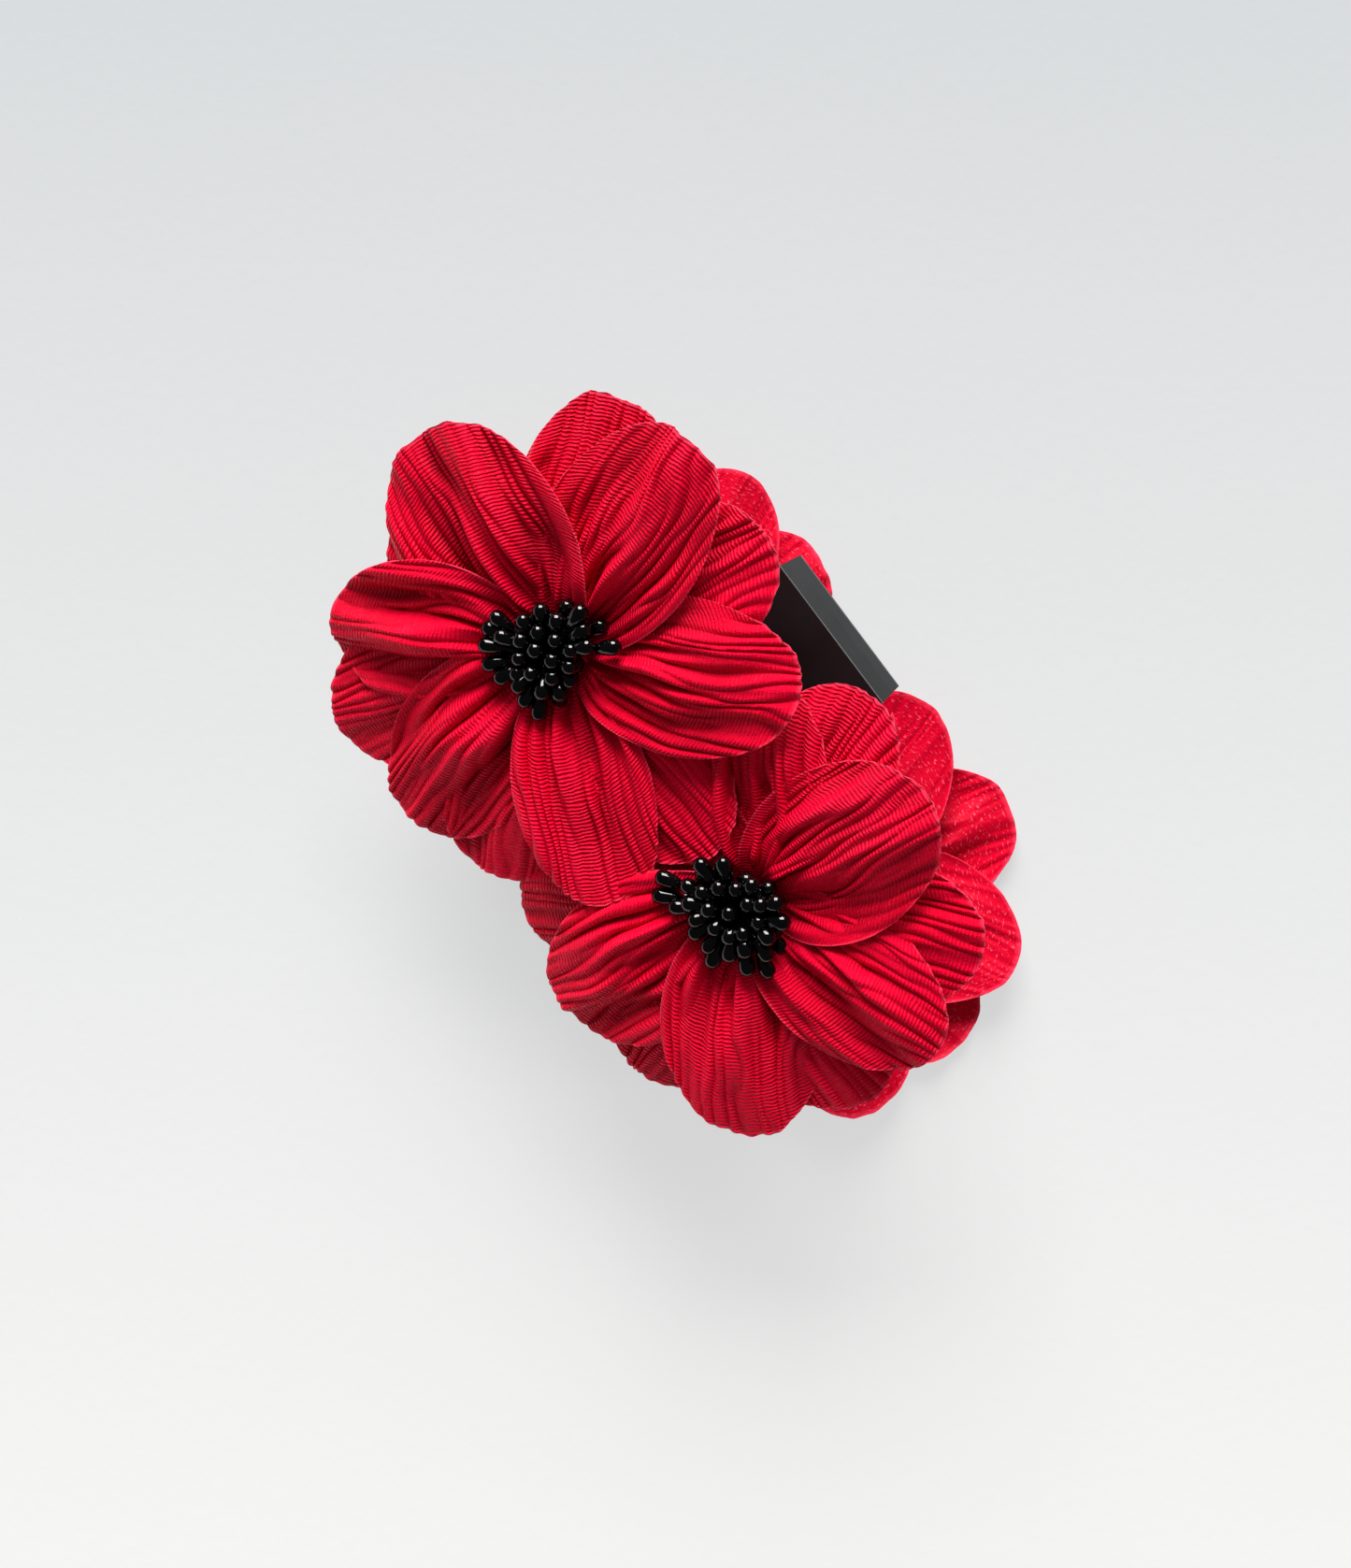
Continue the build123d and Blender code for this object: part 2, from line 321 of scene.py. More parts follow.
# ---- Petals -----------------------------------------------------------------------------------
# Twelve petals to a flower, in two layers of six, die-cut from ribbed polyester and heat-set over
# a crimped iron. The iron leaves folds that fan out from the foot, where the petal is gathered.
# Each petal's clockwise side lies over its neighbour.

petal_foot = 3.2              # mm from the flower's middle, under the stamens
cloth_thickness = 0.25 * MM
rib_spacing = 0.62            # mm; the weave's cross ribs are 0.55 mm apart, drawn a little coarser
crimp_spacing = 2.0           # mm between the iron's fine folds
foot_half = 3.0               # mm: half a petal's width where it is gathered

# What gives a petal its shape, in mm
rim_wander = 0.7
rim_teeth = 0.42
side_lap = 1.3                # the clockwise side is tilted up by this, and the other side down
soft_fold_height = 2.0
gather_height = 2.1
crimp_height = 0.36
room_to_flatten = 0.6         # a petal this near to what it lies on begins to flatten


def whole_noise(x, y, seed):
    """A repeatable number between -1 and 1 for each whole x and y: large odd numbers mix their bits."""
    whole_x, whole_y = x.astype(np.int64), y.astype(np.int64)
    mixed = (whole_x * 374761393 + whole_y * 668265263 + seed * 974711) & 0xFFFFFFFF
    mixed = ((mixed ^ (mixed >> 13)) * 1274126177) & 0xFFFFFFFF
    mixed = mixed ^ (mixed >> 16)
    return mixed / 2147483647.5 - 1.0


def noise(x, y, seed):
    """Smooth noise between -1 and 1."""
    x, y = np.broadcast_arrays(np.asarray(x, float), np.asarray(y, float))
    left, below = np.floor(x), np.floor(y)
    right, above = left + 1, below + 1
    along_x, along_y = x - left, y - below
    along_x = along_x * along_x * along_x * (along_x * (along_x * 6 - 15) + 10)
    along_y = along_y * along_y * along_y * (along_y * (along_y * 6 - 15) + 10)
    bottom = whole_noise(left, below, seed) * (1 - along_x) + whole_noise(right, below, seed) * along_x
    top = whole_noise(left, above, seed) * (1 - along_x) + whole_noise(right, above, seed) * along_x
    return bottom * (1 - along_y) + top * along_y


def fade(value, start, end):
    """0 before start, 1 after end, and smooth between them."""
    share = np.clip((value - start) / (end - start), 0, 1)
    return share * share * (3 - 2 * share)


petal_cloth = new_material("crimped_ribbed_polyester")
cloth_map = add_node(petal_cloth, "ShaderNodeUVMap", uv_map="along_and_across").outputs["UV"]
along_across = add_node(petal_cloth, "ShaderNodeSeparateXYZ", {"Vector": cloth_map})
rim_share = add_node(petal_cloth, "ShaderNodeAttribute", attribute_name="rim")
# painted shade: the fold attribute is 1 where a fold is painted light and less where it is painted darker
painted_fold_shade_node = add_node(petal_cloth, "ShaderNodeAttribute", attribute_name="fold")
reverse_share = add_node(petal_cloth, "ShaderNodeAttribute", attribute_name="reverse").outputs["Fac"]
wander = add_node(            # the ribs are not quite even
    petal_cloth, "ShaderNodeTexNoise",
    {"Vector": cloth_map, "Scale": 0.3, "Detail": 2.0},
    noise_dimensions="2D",
)
rib_phase = add_node(
    petal_cloth, "ShaderNodeMath",
    {0: wander.outputs["Fac"], 1: 0.9, 2: along_across.outputs["X"]},
    operation="MULTIPLY_ADD",
)
rib_turns = add_node(
    petal_cloth, "ShaderNodeMath",
    {0: rib_phase.outputs["Value"], 1: 2 * math.pi / rib_spacing},
    operation="MULTIPLY",
)
rib_wave = add_node(petal_cloth, "ShaderNodeMath", {0: rib_turns.outputs["Value"]}, operation="SINE")
yarn_map = add_node(petal_cloth, "ShaderNodeMapping", {"Vector": cloth_map, "Scale": (0.9, 4.0, 1.0)})
yarns = add_node(             # warp yarns 0.25 mm apart along the petal
    petal_cloth, "ShaderNodeTexNoise",
    {"Vector": yarn_map.outputs["Vector"], "Scale": 1.0, "Detail": 3.0},
    noise_dimensions="2D",
)
rib_height = add_node(
    petal_cloth, "ShaderNodeMath",
    {0: yarns.outputs["Fac"], 1: 1.6, 2: rib_wave.outputs["Value"]},
    operation="MULTIPLY_ADD",
)
weave_map = add_node(         # the reverse is a plain weave: 0.4 mm yarns with floats of 1 mm
    petal_cloth, "ShaderNodeMapping", {"Vector": cloth_map, "Scale": (1 / 0.4, 1 / 1.0, 1.0)}
)
weave = add_node(
    petal_cloth, "ShaderNodeTexNoise",
    {"Vector": weave_map.outputs["Vector"], "Scale": 1.0, "Detail": 1.0},
    noise_dimensions="2D",
)
face_or_reverse = add_node(
    petal_cloth, "ShaderNodeMix",
    {"Factor": reverse_share, "A": rib_height.outputs["Value"], "B": weave.outputs["Fac"]},
)
rib_bump = add_node(
    petal_cloth, "ShaderNodeBump",
    {"Height": face_or_reverse.outputs["Result"], "Strength": 0.8, "Distance": 0.11 * MM},
)
dye_map = add_node(petal_cloth, "ShaderNodeMapping", {"Vector": cloth_map, "Scale": (0.05, 0.12, 1.0)})
dye_pools = add_node(         # the dye takes a little unevenly
    petal_cloth, "ShaderNodeTexNoise",
    {"Vector": dye_map.outputs["Vector"], "Scale": 1.0, "Detail": 3.0},
    noise_dimensions="2D",
)
dye = add_node(
    petal_cloth, "ShaderNodeMix",
    {"Factor": dye_pools.outputs["Fac"], "A": linear("#F2022A"), "B": linear("#FF0640")},
    data_type="RGBA",
)
fold_valleys_painted_dark = add_node(          # painted shade: the valleys of the folds and gathers are painted dark red, where shade falls
    petal_cloth, "ShaderNodeMix",
    {"Factor": painted_fold_shade_node.outputs["Fac"], "A": linear("#60000A"), "B": dye.outputs["Result"]},
    data_type="RGBA",
)
# painted shade: the low parts of the ribs, and of the reverse's weave, are painted a darker red
rib_shade = add_node(
    petal_cloth, "ShaderNodeMapRange",
    {"Value": face_or_reverse.outputs["Result"], "From Min": -0.6, "From Max": 2.2},
)
ribbed = add_node(
    petal_cloth, "ShaderNodeMix",
    {"Factor": rib_shade.outputs["Result"], "A": linear("#DA0026"), "B": fold_valleys_painted_dark.outputs["Result"]},
    data_type="RGBA",
)
glint_share = add_node(       # painted highlight: glints are painted as pale pink specks here and there on the reverse's weave
    petal_cloth, "ShaderNodeMapRange",
    {"Value": weave.outputs["Fac"], "From Min": 0.64, "From Max": 0.78, "To Max": 0.5},
)
glinting = add_node(
    petal_cloth, "ShaderNodeMath",
    {0: glint_share.outputs["Result"], 1: reverse_share},
    operation="MULTIPLY",
)
reverse_shade_share = add_node(
    petal_cloth, "ShaderNodeMath", {0: reverse_share, 1: 0.5}, operation="MULTIPLY"
)
reverse_painted_shade = add_node(       # painted shade: with no ribs to catch the light, the reverse is painted a deeper red
    petal_cloth, "ShaderNodeMix",
    {"Factor": reverse_shade_share.outputs["Value"], "A": ribbed.outputs["Result"], "B": linear("#B00020")},
    data_type="RGBA",
)
with_painted_glints = add_node(
    petal_cloth, "ShaderNodeMix",
    {"Factor": glinting.outputs["Value"], "A": reverse_painted_shade.outputs["Result"], "B": linear("#FF6E86")},
    data_type="RGBA",
)
cut_edge = add_node(          # the hot knife leaves the cut edge paler
    petal_cloth, "ShaderNodeMix",
    {"Factor": rim_share.outputs["Fac"], "A": with_painted_glints.outputs["Result"], "B": linear("#FF3A5A")},
    data_type="RGBA",
)
glint = add_node(
    petal_cloth, "ShaderNodeMapRange",
    {"Value": yarns.outputs["Fac"], "From Min": 0.35, "From Max": 0.7, "To Min": 0.60, "To Max": 0.36},
)
cloth_shader = add_node(
    petal_cloth, "ShaderNodeBsdfPrincipled",
    {
        "Base Color": cut_edge.outputs["Result"],
        "Roughness": glint.outputs["Result"],
        "Specular IOR Level": 0.4,
        "Specular Tint": linear("#FF5A74"),
        "Sheen Weight": 0.06,
        "Sheen Roughness": 0.4,
        "Sheen Tint": linear("#FF2848"),
        "Normal": rib_bump.outputs["Normal"],
    },
)
add_node(petal_cloth, "ShaderNodeOutputMaterial", {"Surface": cloth_shader.outputs["BSDF"]})


def shape_petal(
    petal, seat, height_limit, direction, length, width, foot_height, crest, droop, curl, depth, crimp, seed
):
    """Moves a flat grid's points into a crimped petal that faces out of the seat. Lengths are in mm."""
    count = len(petal.data.vertices)
    grid = np.zeros(count * 3)
    petal.data.vertices.foreach_get("co", grid)
    grid = grid.reshape(-1, 3)
    across = np.clip(grid[:, 1] * 2, -1, 1)
    across = 0.7 * across + 0.3 * np.sin(across * math.pi / 2)      # closer points at the sides
    outwards = np.clip(grid[:, 0] + 0.5, 0, 1)
    half = width / 2
    widest = 0.64 * length
    side_end = 0.60 * length

    # the outline: a narrow foot, nearly straight sides and a round end with a crimped rim
    end_shape = np.sqrt(1 - np.abs(across) ** 2.15)
    rim = side_end + (length - side_end) * end_shape
    rim = rim + rim_wander * noise(across * 1.9, 0.5, seed) * end_shape
    rim = rim + rim_teeth * crimp * noise(across * half / crimp_spacing, 0.5, seed + 5) * end_shape
    out = petal_foot + (rim - petal_foot) * outwards
    share = np.clip((out - petal_foot) / (widest - petal_foot), 0, 1)
    spread = half - (half - foot_half) * (1 - share) ** 1.9
    sway = 1.1 * noise(out / 14, across * 1.3, seed + 1) * fade(out, 8, 20) * (1 - across ** 2)
    side = across * spread + sway

    # the height: up from the foot to a crest, then down to the rim and to both sides
    height = foot_height + (crest - foot_height) * (1 - (1 - share) ** 2.0)
    past = np.clip((out - widest) / (length - widest), 0, 1)
    height = height - droop * past ** 1.7
    height = height - side_lap * across * fade(out, 5, 14)
    height = height - curl * np.abs(across) ** 2.6 * fade(out, 8, widest)

    # soft folds that run most of the petal's length, and tight gathers at the foot; both are less
    # along the sides, so that neighbours lie flat on each other
    lane = across * half
    soft = noise(lane / 5.5 + 3, out / 26, seed + 2) + 0.5 * noise(lane / 3.2, out / 18, seed + 3)
    soft = soft * (1 - 0.8 * np.abs(across) ** 3 * (1 - fade(out, 0.55 * length, 0.85 * length)))
    soft_here = fade(out, 6, 16) * (1 - 0.4 * fade(out, 0.7 * length, length))
    height = height + soft_fold_height * depth * soft * soft_here
    gather = np.abs(noise(lane / 2.6, out / 40, seed + 4)) * 2.4 - 0.9
    gathered = fade(out, 4.5, 9) * (1 - fade(out, 15, 34))
    gathered = gathered * (1 - np.abs(across) ** 3)
    height = height + gather_height * depth * gather * gathered

    # the iron's fine folds, one set near the foot and a second one where the petal is wide
    drift = 0.5 * noise(out / 9, lane / 6, seed + 9)
    bunching = 0.8 * noise(lane / 4.5, out / 15, seed + 6) + 0.35 * noise(lane / 1.8, out / 9, seed + 7)
    inner_fold = 1.9 * np.abs(np.sin(math.pi * ((0.6 * lane + drift) / crimp_spacing + bunching))) - 1.15
    outer_fold = 1.9 * np.abs(np.sin(math.pi * ((lane + drift) / crimp_spacing + bunching))) - 1.15
    inner_weight = fade(out, 6, 10) * (1 - fade(out, 15, 24))
    outer_weight = fade(out, 14, 22)
    strength = 0.85 + 0.6 * noise(lane / 2.4, out / 12, seed + 8)
    fold = strength * (inner_fold * inner_weight + outer_fold * outer_weight)
    height = height + crimp_height * crimp * fold
    free_height = height_limit - room_to_flatten
    over = np.maximum(height - free_height, 0)
    flattened = free_height + room_to_flatten * (1 - np.exp(-over / room_to_flatten))
    height = np.where(over > 0, flattened, height)

    forwards = np.sqrt(np.maximum(out ** 2 - side ** 2, 0.0))
    x = forwards * math.cos(direction) - side * math.sin(direction)
    y = forwards * math.sin(direction) + side * math.cos(direction)
    flat = np.stack([x, y, height], axis=1) * MM
    placed = flat @ np.array(seat.to_3x3()).T + np.array(seat.translation)
    petal.data.vertices.foreach_set("co", placed.astype(np.float32).ravel())

    # what the material reads: the cut edge, painted light and shade for the folds (1 at their tops, less in
    # their valleys), and the cloth's own map in mm
    rim_attribute = petal.data.attributes.new("rim", "FLOAT", "POINT")
    from_rim = np.minimum(rim - out, (1 - np.abs(across)) * half)
    rim_attribute.data.foreach_set("value", (0.75 * (1 - fade(from_rim, 0.0, 0.32))).astype(np.float32))
    painted_fold_shade_attribute = petal.data.attributes.new("fold", "FLOAT", "POINT")
    # painted shade: the tops of the fine folds, soft folds and gathers are painted light and their valleys
    # dark
    fold_painted_light_and_shade = 0.66 + 0.28 * crimp * fold + 0.42 * gather * gathered + 0.42 * soft
    painted_fold_shade_attribute.data.foreach_set("value", np.clip(fold_painted_light_and_shade, 0, 1).astype(np.float32))
    cloth = petal.data.uv_layers[0]
    cloth.name = "along_and_across"
    corner_points = np.zeros(len(petal.data.loops), np.int32)
    petal.data.loops.foreach_get("vertex_index", corner_points)
    on_cloth = np.stack([out + 0.012 * side ** 2, lane * 1.25 + seed], axis=1)
    cloth.data.foreach_set("uv", on_cloth[corner_points].astype(np.float32).ravel())


def mark_reverse(petal, outward, sheet_points):
    """Marks the points on the cloth's reverse, which faces the jaw, after the cloth has its thickness."""
    spots = np.zeros(len(petal.data.vertices) * 3)
    petal.data.vertices.foreach_get("co", spots)
    heights = spots.reshape(-1, 3) @ np.array(outward)
    reverse = np.zeros(len(heights), np.float32)
    if heights[:sheet_points].mean() > heights[sheet_points:2 * sheet_points].mean():
        reverse[sheet_points:] = 1
    else:
        reverse[:sheet_points] = 1
    petal.data.attributes.new("reverse", "FLOAT", "POINT").data.foreach_set("value", reverse)


# Each petal: direction in degrees, length and width in mm, and how its crest, rim droop and side
# curl differ from the usual ones, in mm. Directions run counter-clockwise as seen from outside.
petal_sets = {
    "front_left_upper": [
        (46, 43.5, 26, 0.8, 0, 0.3), (106, 44, 28, 0, 0, 0), (172, 41, 33, 0.3, 0.5, 0),
        (226, 39, 26, 0.3, 0, 0.4), (281, 40.5, 27, 0, 0, 0.4), (337, 43, 24, 1.2, -0.5, 0.6),
    ],
    "front_left_lower": [
        (3, 42, 28, 0.9, -1.0, 0), (79, 42, 28, 0, 0, 0), (124, 43.5, 28, 0, 0, 0),
        (198, 34, 28, 0, 0, 0), (251, 42, 28, 1.6, -1.0, 0), (304, 42, 28, 0, 0, 0),
    ],
    "front_right_upper": [
        (21, 39.5, 25, 0.3, 0, 0.6), (84, 38.5, 28, 0.3, 0, 0), (138, 38, 28, -2.6, 2.5, 0),
        (198, 33, 27, -6.0, 2.5, 0), (265, 37.5, 29, 0, 0, 0.3), (323, 39.5, 28, 0, 0, 0.3),
    ],
    "front_right_lower": [
        (46, 40, 27, 0, 0, 0), (112, 41, 27, -1.0, 1.5, 0), (170, 33, 27, -4.6, 2.5, 0),
        (237, 41, 28, -0.5, 1.0, 0), (293, 38, 28, 0, 0, 0), (352, 38.5, 29, 0, 0, 0),
    ],
    "back_left_upper": [
        (40, 35, 28, -3.5, 3.5, 0), (100, 41, 28, 0, 0, 0), (160, 40, 28, 0, 0, 0),
        (220, 40, 28, 0, 0, 0), (280, 40, 28, 0, 0, 0), (340, 35, 28, -3.5, 3.5, 0),
    ],
    "back_left_lower": [
        (10, 33, 27, -3.0, 3.0, 0), (70, 40, 28, 0, 0, 0), (130, 41, 28, 0, 0, 0),
        (190, 40, 28, 0, 0, 0), (251, 40, 28, 0, 0, 0), (311, 40, 28, 0, 0, 0),
    ],
    "back_right_upper": [
        (50, 40, 28, 0, 0, 0), (110, 40, 28, 0, 0, 0), (170, 38, 28, 0.5, 0, 0),
        (229, 40, 28, 0, 0, 0), (285, 41, 28, 0, 0, 0), (349, 40, 28, 0, 0, 0),
    ],
    "back_right_lower": [
        (20, 41, 28, 0, 0, 0), (79, 41, 28, 0, 0, 0), (137, 40, 28, 0, 0, 0),
        (196, 38, 28, 0, 0, 0), (250, 41, 28, 0, 0, 0), (322, 41, 28, 0, 0, 0),
    ],
}

# The usual heights above the seat, in mm
layer_crest = {"upper": 10.8, "lower": 7.6}
layer_foot = {"upper": 3.8, "lower": 1.4}
rim_droop = 1.6
side_curl = 0.9
open_height = 20.0            # nothing lies over the front flowers
table_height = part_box("back_left_pad")[0].z / MM - 0.4    # room between a back seat and the table

layer_depth = {"upper": 1.0, "lower": 0.55}       # share of the soft folds' and gathers' height
back_crimp = 0.4              # share of the fine folds' height; the back flowers' are pressed flatter

seed = 11
for set_name, petals in petal_sets.items():
    flower, layer = set_name.rsplit("_", 1)
    at_front = flower.startswith("front")
    columns, rows = (128, 48) if at_front else (96, 36)
    seat = seat_frame(flower)
    for number, (direction, length, width, crest, droop, curl) in enumerate(petals, 1):
        seed += 17
        bpy.ops.object.select_all(action="DESELECT")
        bpy.ops.mesh.primitive_grid_add(
            x_subdivisions=rows, y_subdivisions=columns, size=1.0, calc_uvs=True
        )
        petal = bpy.context.object
        petal.name = f"{flower}_{layer}_cloth_petal_{number}"
        shape_petal(
            petal, seat, open_height if at_front else table_height,
            math.radians(direction), length, width,
            layer_foot[layer], layer_crest[layer] + crest, rim_droop + droop, side_curl + curl,
            layer_depth[layer], 1.0 if at_front else back_crimp, seed,
        )
        sheet_points = len(petal.data.vertices)
        thicken = petal.modifiers.new("cloth_thickness", "SOLIDIFY")
        thicken.thickness = cloth_thickness
        thicken.offset = 0.0
        bpy.ops.object.modifier_apply(modifier=thicken.name)
        mark_reverse(petal, seat.to_3x3().col[2], sheet_points)
        bpy.ops.object.shade_smooth_by_angle(angle=math.radians(70))
        petal.data.materials.append(petal_cloth)
        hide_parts(f"{flower}_{layer}_petal_{number}")
        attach(petal, half_name(flower))


# ---- Stamens ----------------------------------------------------------------------------------
# A bunch of stiffened cotton threads, folded over and wired in the middle. Each end is dipped in
# paste and then in black lacquer, which dries to a glossy drop.

# Sizes in mm
head_radius = 1.5
head_length = 5.2
thread_radius = 0.42
middle_drop = 9.0             # a middle stamen's foot is this far below its tip
drop_lost = 0.78              # and this much less for each mm further out, as they lie over more
least_drop = 1.2
lowest_foot = 3.0
knot_radius = 3.8
knot_height = 1.6             # of its middle above the seat
knot_flatness = 0.62
bunch_spread = 1.12           # the bunch opens this much wider than the drops' table
foot_spread = 0.22            # and the threads' feet stand closer together
under_drop_depth = 2.6        # a second round of drops is this much lower

lacquer = new_material("black_thread_dipped_in_lacquer")
place = add_node(lacquer, "ShaderNodeTexCoord").outputs["Object"]
dipped = add_node(lacquer, "ShaderNodeAttribute", attribute_name="dipped").outputs["Fac"]
drips = add_node(lacquer, "ShaderNodeTexNoise", {"Vector": place, "Scale": 1 / (1.4 * MM), "Detail": 2.0})
twist = add_node(lacquer, "ShaderNodeTexNoise", {"Vector": place, "Scale": 1 / (0.25 * MM), "Detail": 2.0})
drip_roughness = add_node(
    lacquer, "ShaderNodeMapRange",
    {"Value": drips.outputs["Fac"], "From Min": 0.3, "From Max": 0.7, "To Min": 0.05, "To Max": 0.11},
)
skin_gloss = add_node(
    lacquer, "ShaderNodeMix",
    {"Factor": dipped, "A": 0.8, "B": drip_roughness.outputs["Result"]},
)
skin_height = add_node(
    lacquer, "ShaderNodeMix",
    {"Factor": dipped, "A": twist.outputs["Fac"], "B": drips.outputs["Fac"]},
)
skin_bump = add_node(
    lacquer, "ShaderNodeBump",
    {"Height": skin_height.outputs["Result"], "Strength": 0.2, "Distance": 0.15 * MM},
)
lacquer_shader = add_node(
    lacquer, "ShaderNodeBsdfPrincipled",
    {
        "Base Color": linear("#020203"),
        "Roughness": skin_gloss.outputs["Result"],
        "IOR": 1.5,
        "Specular IOR Level": 0.5,
        "Normal": skin_bump.outputs["Normal"],
    },
)
add_node(lacquer, "ShaderNodeOutputMaterial", {"Surface": lacquer_shader.outputs["BSDF"]})

# Where each drop's tip is, in mm from the flower's middle, and its height above the seat. The ones
# that lie over on the petals are lower and further out.
left_drops = [
    (-6.0, 5.0, 12.0), (-3.0, 6.5, 12.5), (-6.5, 1.5, 12.8), (-1.5, 10.5, 12.2), (1.0, 9.0, 12.0),
    (-9.5, -2.5, 11.5), (-9.0, -5.0, 11.0), (-7.2, -7.0, 11.8), (-4.5, -9.0, 11.0), (-3.5, 2.5, 13.4),
    (-0.5, 4.3, 13.6), (-4.3, -1.0, 13.6), (2.5, 5.5, 13.2), (6.0, 11.0, 11.6), (-1.3, 0.3, 14.2),
    (-2.0, -3.2, 13.8), (1.8, 1.6, 14.0), (4.5, 3.4, 13.2), (1.3, -3.0, 14.0), (4.2, -0.5, 13.5),
    (6.3, 1.5, 12.2), (-0.2, -5.6, 13.0), (-1.5, -8.6, 11.6), (4.0, -7.5, 11.8), (5.0, -3.8, 13.0),
    (7.0, -7.0, 11.2), (1.6, -6.6, 13.0), (7.0, -1.6, 12.0), (-6.8, -3.6, 12.6), (3.6, 8.0, 12.4),
]
right_drops = [
    (-11.0, -7.0, 10.6), (-9.0, -9.5, 10.4), (-8.0, -3.8, 12.0), (-9.5, 0.5, 12.0), (-7.6, 4.0, 12.2),
    (-6.0, -2.2, 13.0), (-5.0, 0.8, 13.2), (-3.0, 3.2, 13.2), (-3.0, -3.0, 14.0), (-5.7, -5.4, 12.8),
    (-2.8, -6.2, 13.2), (-1.0, -8.0, 12.2), (-0.4, -0.2, 14.2), (0.2, 3.4, 13.6), (2.8, 7.6, 12.4),
    (3.8, 3.0, 13.4), (6.0, 6.3, 12.2), (0.3, -4.2, 13.8), (3.8, -0.5, 13.8), (6.8, 2.6, 12.8),
    (2.2, -7.4, 12.6), (5.4, -5.0, 13.0), (6.4, -2.2, 13.2), (8.8, 0.2, 12.0), (4.5, -8.6, 11.6),
    (8.8, -4.2, 11.8), (11.0, -2.0, 10.6), (3.0, -2.9, 14.0), (-6.2, -8.0, 11.6), (1.6, 5.4, 13.2),
    (-2.0, 6.0, 12.6),
]
drop_sets = {
    "front_left": (left_drops, 0.0, open_height),
    "front_right": (right_drops, 0.0, open_height),
    "back_left": (right_drops, 130.0, table_height - head_radius),
    "back_right": (left_drops, 200.0, table_height - head_radius),
}

# A drop's outline, from its neck to its tip: share of its length and share of its radius
drop_outline = [
    (0.0, 0.30), (0.09, 0.52), (0.22, 0.72), (0.40, 0.88), (0.58, 0.98), (0.74, 1.0), (0.86, 0.87),
    (0.94, 0.64), (0.985, 0.34),
]


def stamen_mesh(foot, tip, size):
    """A thread from foot to tip that ends in a drop: its points, faces and how far each is dipped."""
    sides = 14
    reach = (tip - foot).length
    head = head_length * size * MM
    rings = [(0.0, thread_radius * MM, 0.0), ((reach - head) * 0.7, thread_radius * MM, 0.0)]
    for along, wide in drop_outline:
        rings.append((reach - head + head * along, head_radius * size * MM * wide, 1.0))
    turn = (tip - foot).to_track_quat("Z", "Y")
    points = []
    for height, radius, _ in rings:
        for k in range(sides):
            angle = 2 * math.pi * k / sides
            on_ring = Vector((radius * math.cos(angle), radius * math.sin(angle), height))
            points.append(foot + turn @ on_ring)
    points += [foot, tip]
    dips = [share for _, _, share in rings for _ in range(sides)] + [0.0, 1.0]
    faces = []
    last = (len(rings) - 1) * sides
    for k in range(sides):
        after = (k + 1) % sides
        for start in range(0, last, sides):
            faces.append((start + k, start + after, start + sides + after, start + sides + k))
        faces.append((k, len(points) - 2, after))
        faces.append((last + k, last + after, len(points) - 1))
    return points, faces, dips


for flower, (drops, turn_degrees, limit) in drop_sets.items():
    points, faces, dips = [], [], []
    bunch_turn = Matrix.Rotation(math.radians(turn_degrees), 2)

    # a second round of drops, turned a little and nearer the middle, fills the bunch
    under_drops = [
        (0.80 * x - 0.25 * y, 0.80 * y + 0.25 * x, height - under_drop_depth) for x, y, height in drops
    ]
    for i, (x, y, height) in enumerate(drops + under_drops):
        spot = bunch_turn @ Vector((x, y)) * bunch_spread
        tip_height = min(height, limit)
        foot_height = max(tip_height - max(middle_drop - drop_lost * spot.length, least_drop), lowest_foot)
        foot = Vector((spot.x * foot_spread, spot.y * foot_spread, foot_height)) * MM
        tip = Vector((spot.x, spot.y, tip_height)) * MM
        more_points, more_faces, more_dips = stamen_mesh(foot, tip, 0.95 + 0.05 * math.sin(i * 2.4))
        start = len(points)
        points += more_points
        faces += [tuple(start + p for p in face) for face in more_faces]
        dips += more_dips
    mesh = bpy.data.meshes.new(flower + "_stamen_bunch")
    mesh.from_pydata([tuple(p) for p in points], [], faces)
    mesh.attributes.new("dipped", "FLOAT", "POINT").data.foreach_set("value", dips)
    bunch = bpy.data.objects.new(flower + "_stamen_bunch", mesh)
    bpy.context.scene.collection.objects.link(bunch)

    # the knot of thread that binds the stamens and the petals' feet
    knot_middle = (0, 0, knot_height * MM)
    bpy.ops.object.select_all(action="DESELECT")
    bpy.ops.mesh.primitive_uv_sphere_add(
        segments=40, ring_count=20, radius=knot_radius * MM, location=knot_middle
    )
    bpy.ops.object.mode_set(mode="EDIT")
    bpy.ops.mesh.select_all(action="SELECT")
    bpy.ops.transform.resize(value=(1, 1, knot_flatness), center_override=knot_middle)
    bpy.ops.object.mode_set(mode="OBJECT")
    bunch.select_set(True)
    bpy.context.view_layer.objects.active = bunch
    bpy.ops.object.join()
    bunch.data.transform(seat_frame(flower))
    bpy.ops.object.shade_smooth()
    bunch.data.materials.clear()
    bunch.data.materials.append(lacquer)
    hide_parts(flower + "_stamens")
    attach(bunch, half_name(flower))


# ---- Table, light and camera ------------------------------------------------------------------
# Not part of the clip: a sheet of white watercolour paper by a window.

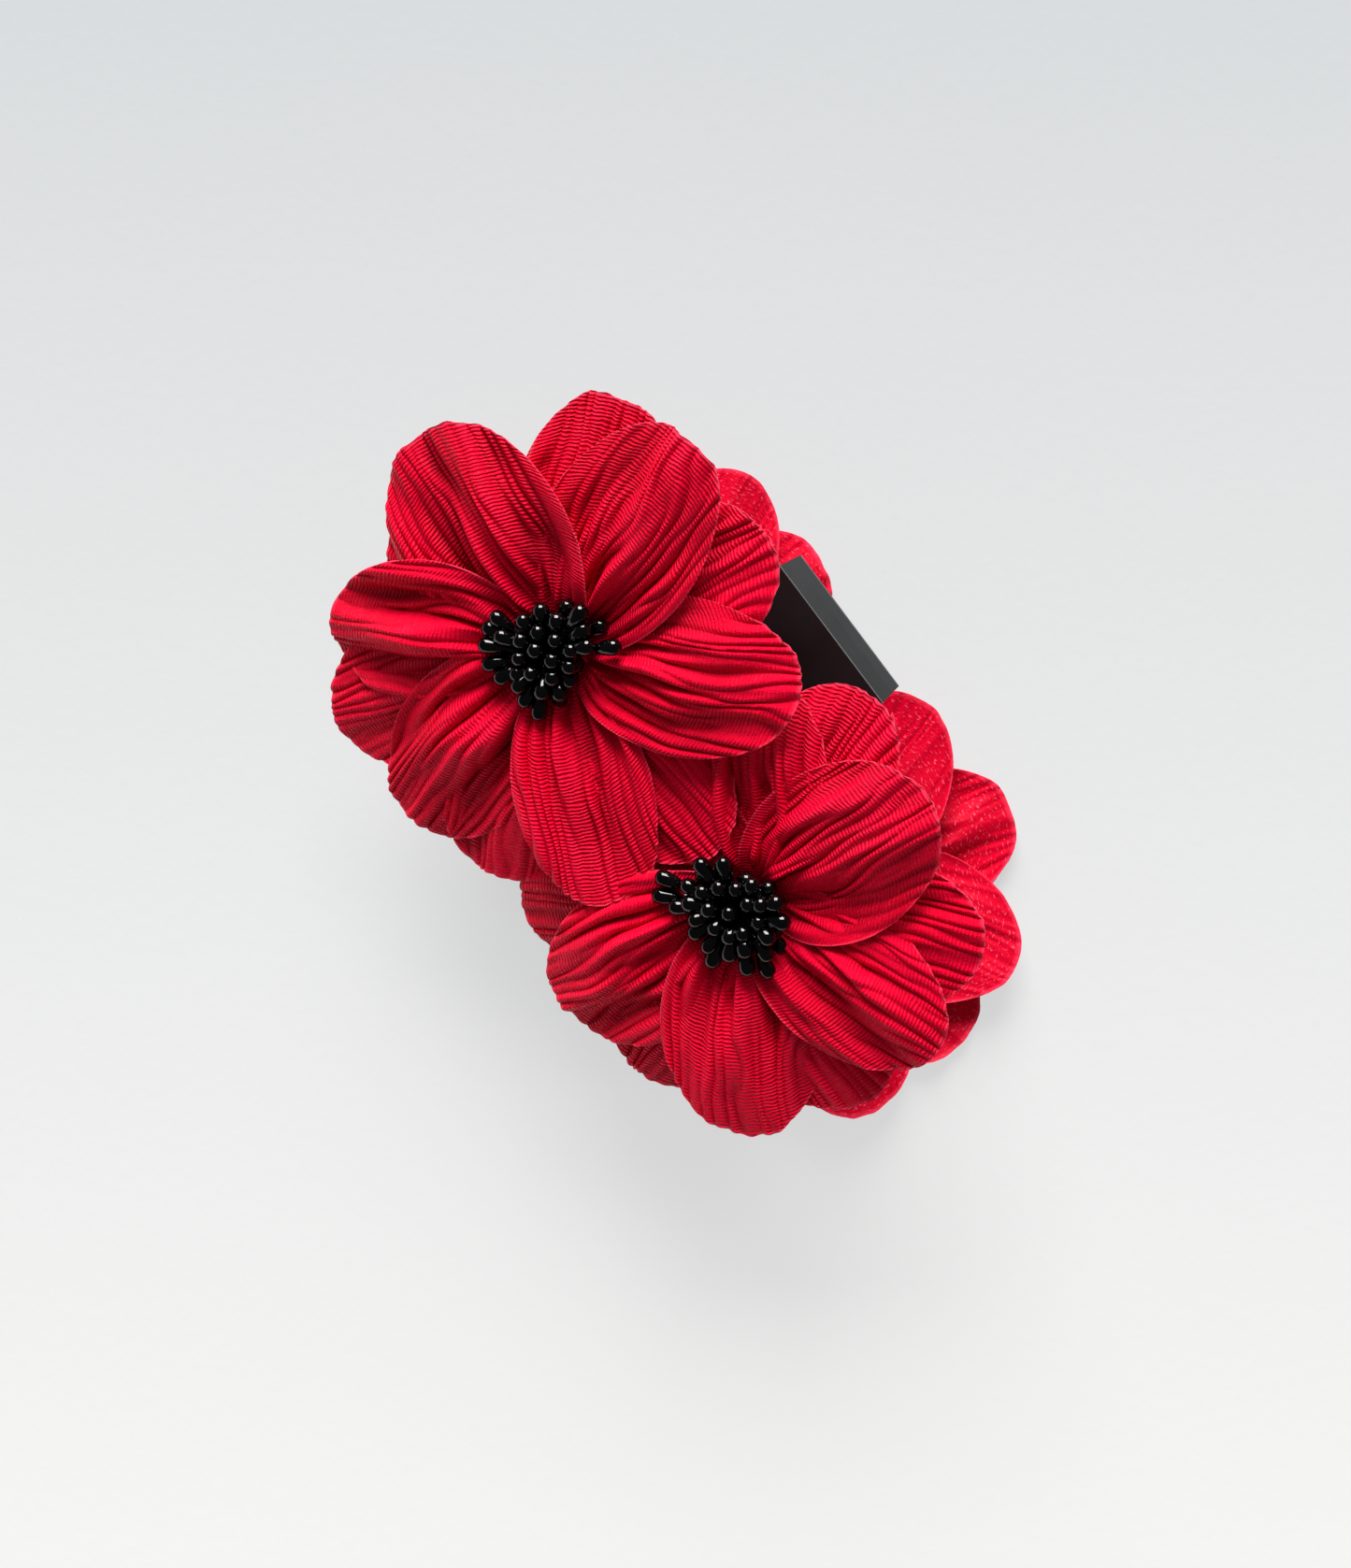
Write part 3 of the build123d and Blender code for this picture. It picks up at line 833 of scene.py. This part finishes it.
view_right = Vector((0.6, 0.8, 0.0))          # the clip lies across the view
view_up = Vector((-0.8, 0.6, 0.0))
paper_size = 3.0
bpy.ops.object.select_all(action="DESELECT")
bpy.ops.mesh.primitive_plane_add(size=paper_size, location=(0, 0, 0))
paper_sheet = bpy.context.object
paper_sheet.name = "paper_table"
paper = new_material("cold_pressed_paper")
place = add_node(paper, "ShaderNodeTexCoord").outputs["Object"]
tooth = add_node(paper, "ShaderNodeTexNoise", {"Vector": place, "Scale": 1 / (2.6 * MM), "Detail": 5.0})
tooth_bump = add_node(
    paper, "ShaderNodeBump", {"Height": tooth.outputs["Fac"], "Strength": 0.22, "Distance": 0.35 * MM}
)
# painted shade: the paper is painted greyer towards the top of the view, as less light falls there
paper_up = add_node(
    paper, "ShaderNodeVectorMath", {0: place, 1: view_up}, operation="DOT_PRODUCT"
)
paper_painted_shade_share = add_node(
    paper, "ShaderNodeMapRange",
    {"Value": paper_up.outputs["Value"], "From Min": -140 * MM, "From Max": 140 * MM},
)
paper_colour_with_painted_shade = add_node(
    paper, "ShaderNodeMix",
    {"Factor": paper_painted_shade_share.outputs["Result"], "A": linear("#F2F2F1"), "B": linear("#CFD2D4")},
    data_type="RGBA",
)
paper_shader = add_node(
    paper, "ShaderNodeBsdfPrincipled",
    {
        "Base Color": paper_colour_with_painted_shade.outputs["Result"],
        "Roughness": 0.9,
        "Specular IOR Level": 0.15,
        "Normal": tooth_bump.outputs["Normal"],
    },
)
paper_painted_glow = add_node(        # painted light: to the camera the paper also glows in its own colour, which lightens the shadows on it
    paper, "ShaderNodeEmission", {"Color": paper_colour_with_painted_shade.outputs["Result"], "Strength": 0.98}
)
seen = add_node(paper, "ShaderNodeLightPath")
painted_glow_share = add_node(
    paper, "ShaderNodeMath", {0: seen.outputs["Is Camera Ray"], 1: 0.78}, operation="MULTIPLY"
)
paper_mix = add_node(
    paper, "ShaderNodeMixShader",
    {0: painted_glow_share.outputs["Value"], 1: paper_shader.outputs["BSDF"], 2: paper_painted_glow.outputs["Emission"]},
)
add_node(paper, "ShaderNodeOutputMaterial", {"Surface": paper_mix.outputs["Shader"]})
paper_sheet.data.materials.append(paper)

# A soft square window behind the clip, at the top of the view
towards_window = view_up * 1.0 - view_right * 0.05 + Vector((0, 0, 0.62))
window_distance = 1.8
window_light = bpy.data.lights.new("window", "AREA")
window_light.shape = "SQUARE"
window_light.size = 1.15
window_light.energy = 78.0
window_light.color = (1.0, 0.99, 0.97)
window = bpy.data.objects.new("window", window_light)
bpy.context.scene.collection.objects.link(window)
window.location = towards_window.normalized() * window_distance
window.rotation_euler = towards_window.to_track_quat("Z", "Y").to_euler()

# The room: even light, but dark overhead as glossy surfaces mirror it
room = bpy.data.worlds.new("room")
room.use_nodes = True
room.node_tree.nodes.clear()
ray = add_node(room, "ShaderNodeLightPath")
room_strength = add_node(
    room, "ShaderNodeMapRange", {"Value": ray.outputs["Is Glossy Ray"], "To Min": 0.28, "To Max": 0.06}
)
room_light = add_node(
    room, "ShaderNodeBackground",
    {"Color": (0.95, 0.97, 1.0, 1.0), "Strength": room_strength.outputs["Result"]},
)
add_node(room, "ShaderNodeOutputWorld", {"Surface": room_light.outputs["Background"]})
bpy.context.scene.world = room

# The camera looks straight down
camera_height = 430 * MM
camera = bpy.data.cameras.new("camera")
camera.sensor_fit = "VERTICAL"
camera.sensor_height = 36.0
camera.lens = 54.5
camera.clip_start = 0.01
camera_object = bpy.data.objects.new("camera", camera)
bpy.context.scene.collection.objects.link(camera_object)
camera_object.location = (0.3 * MM, -3.5 * MM, camera_height)
camera_object.rotation_euler = (0, 0, math.atan2(view_right.y, view_right.x))
bpy.context.scene.camera = camera_object
bpy.context.scene.view_settings.view_transform = "Standard"
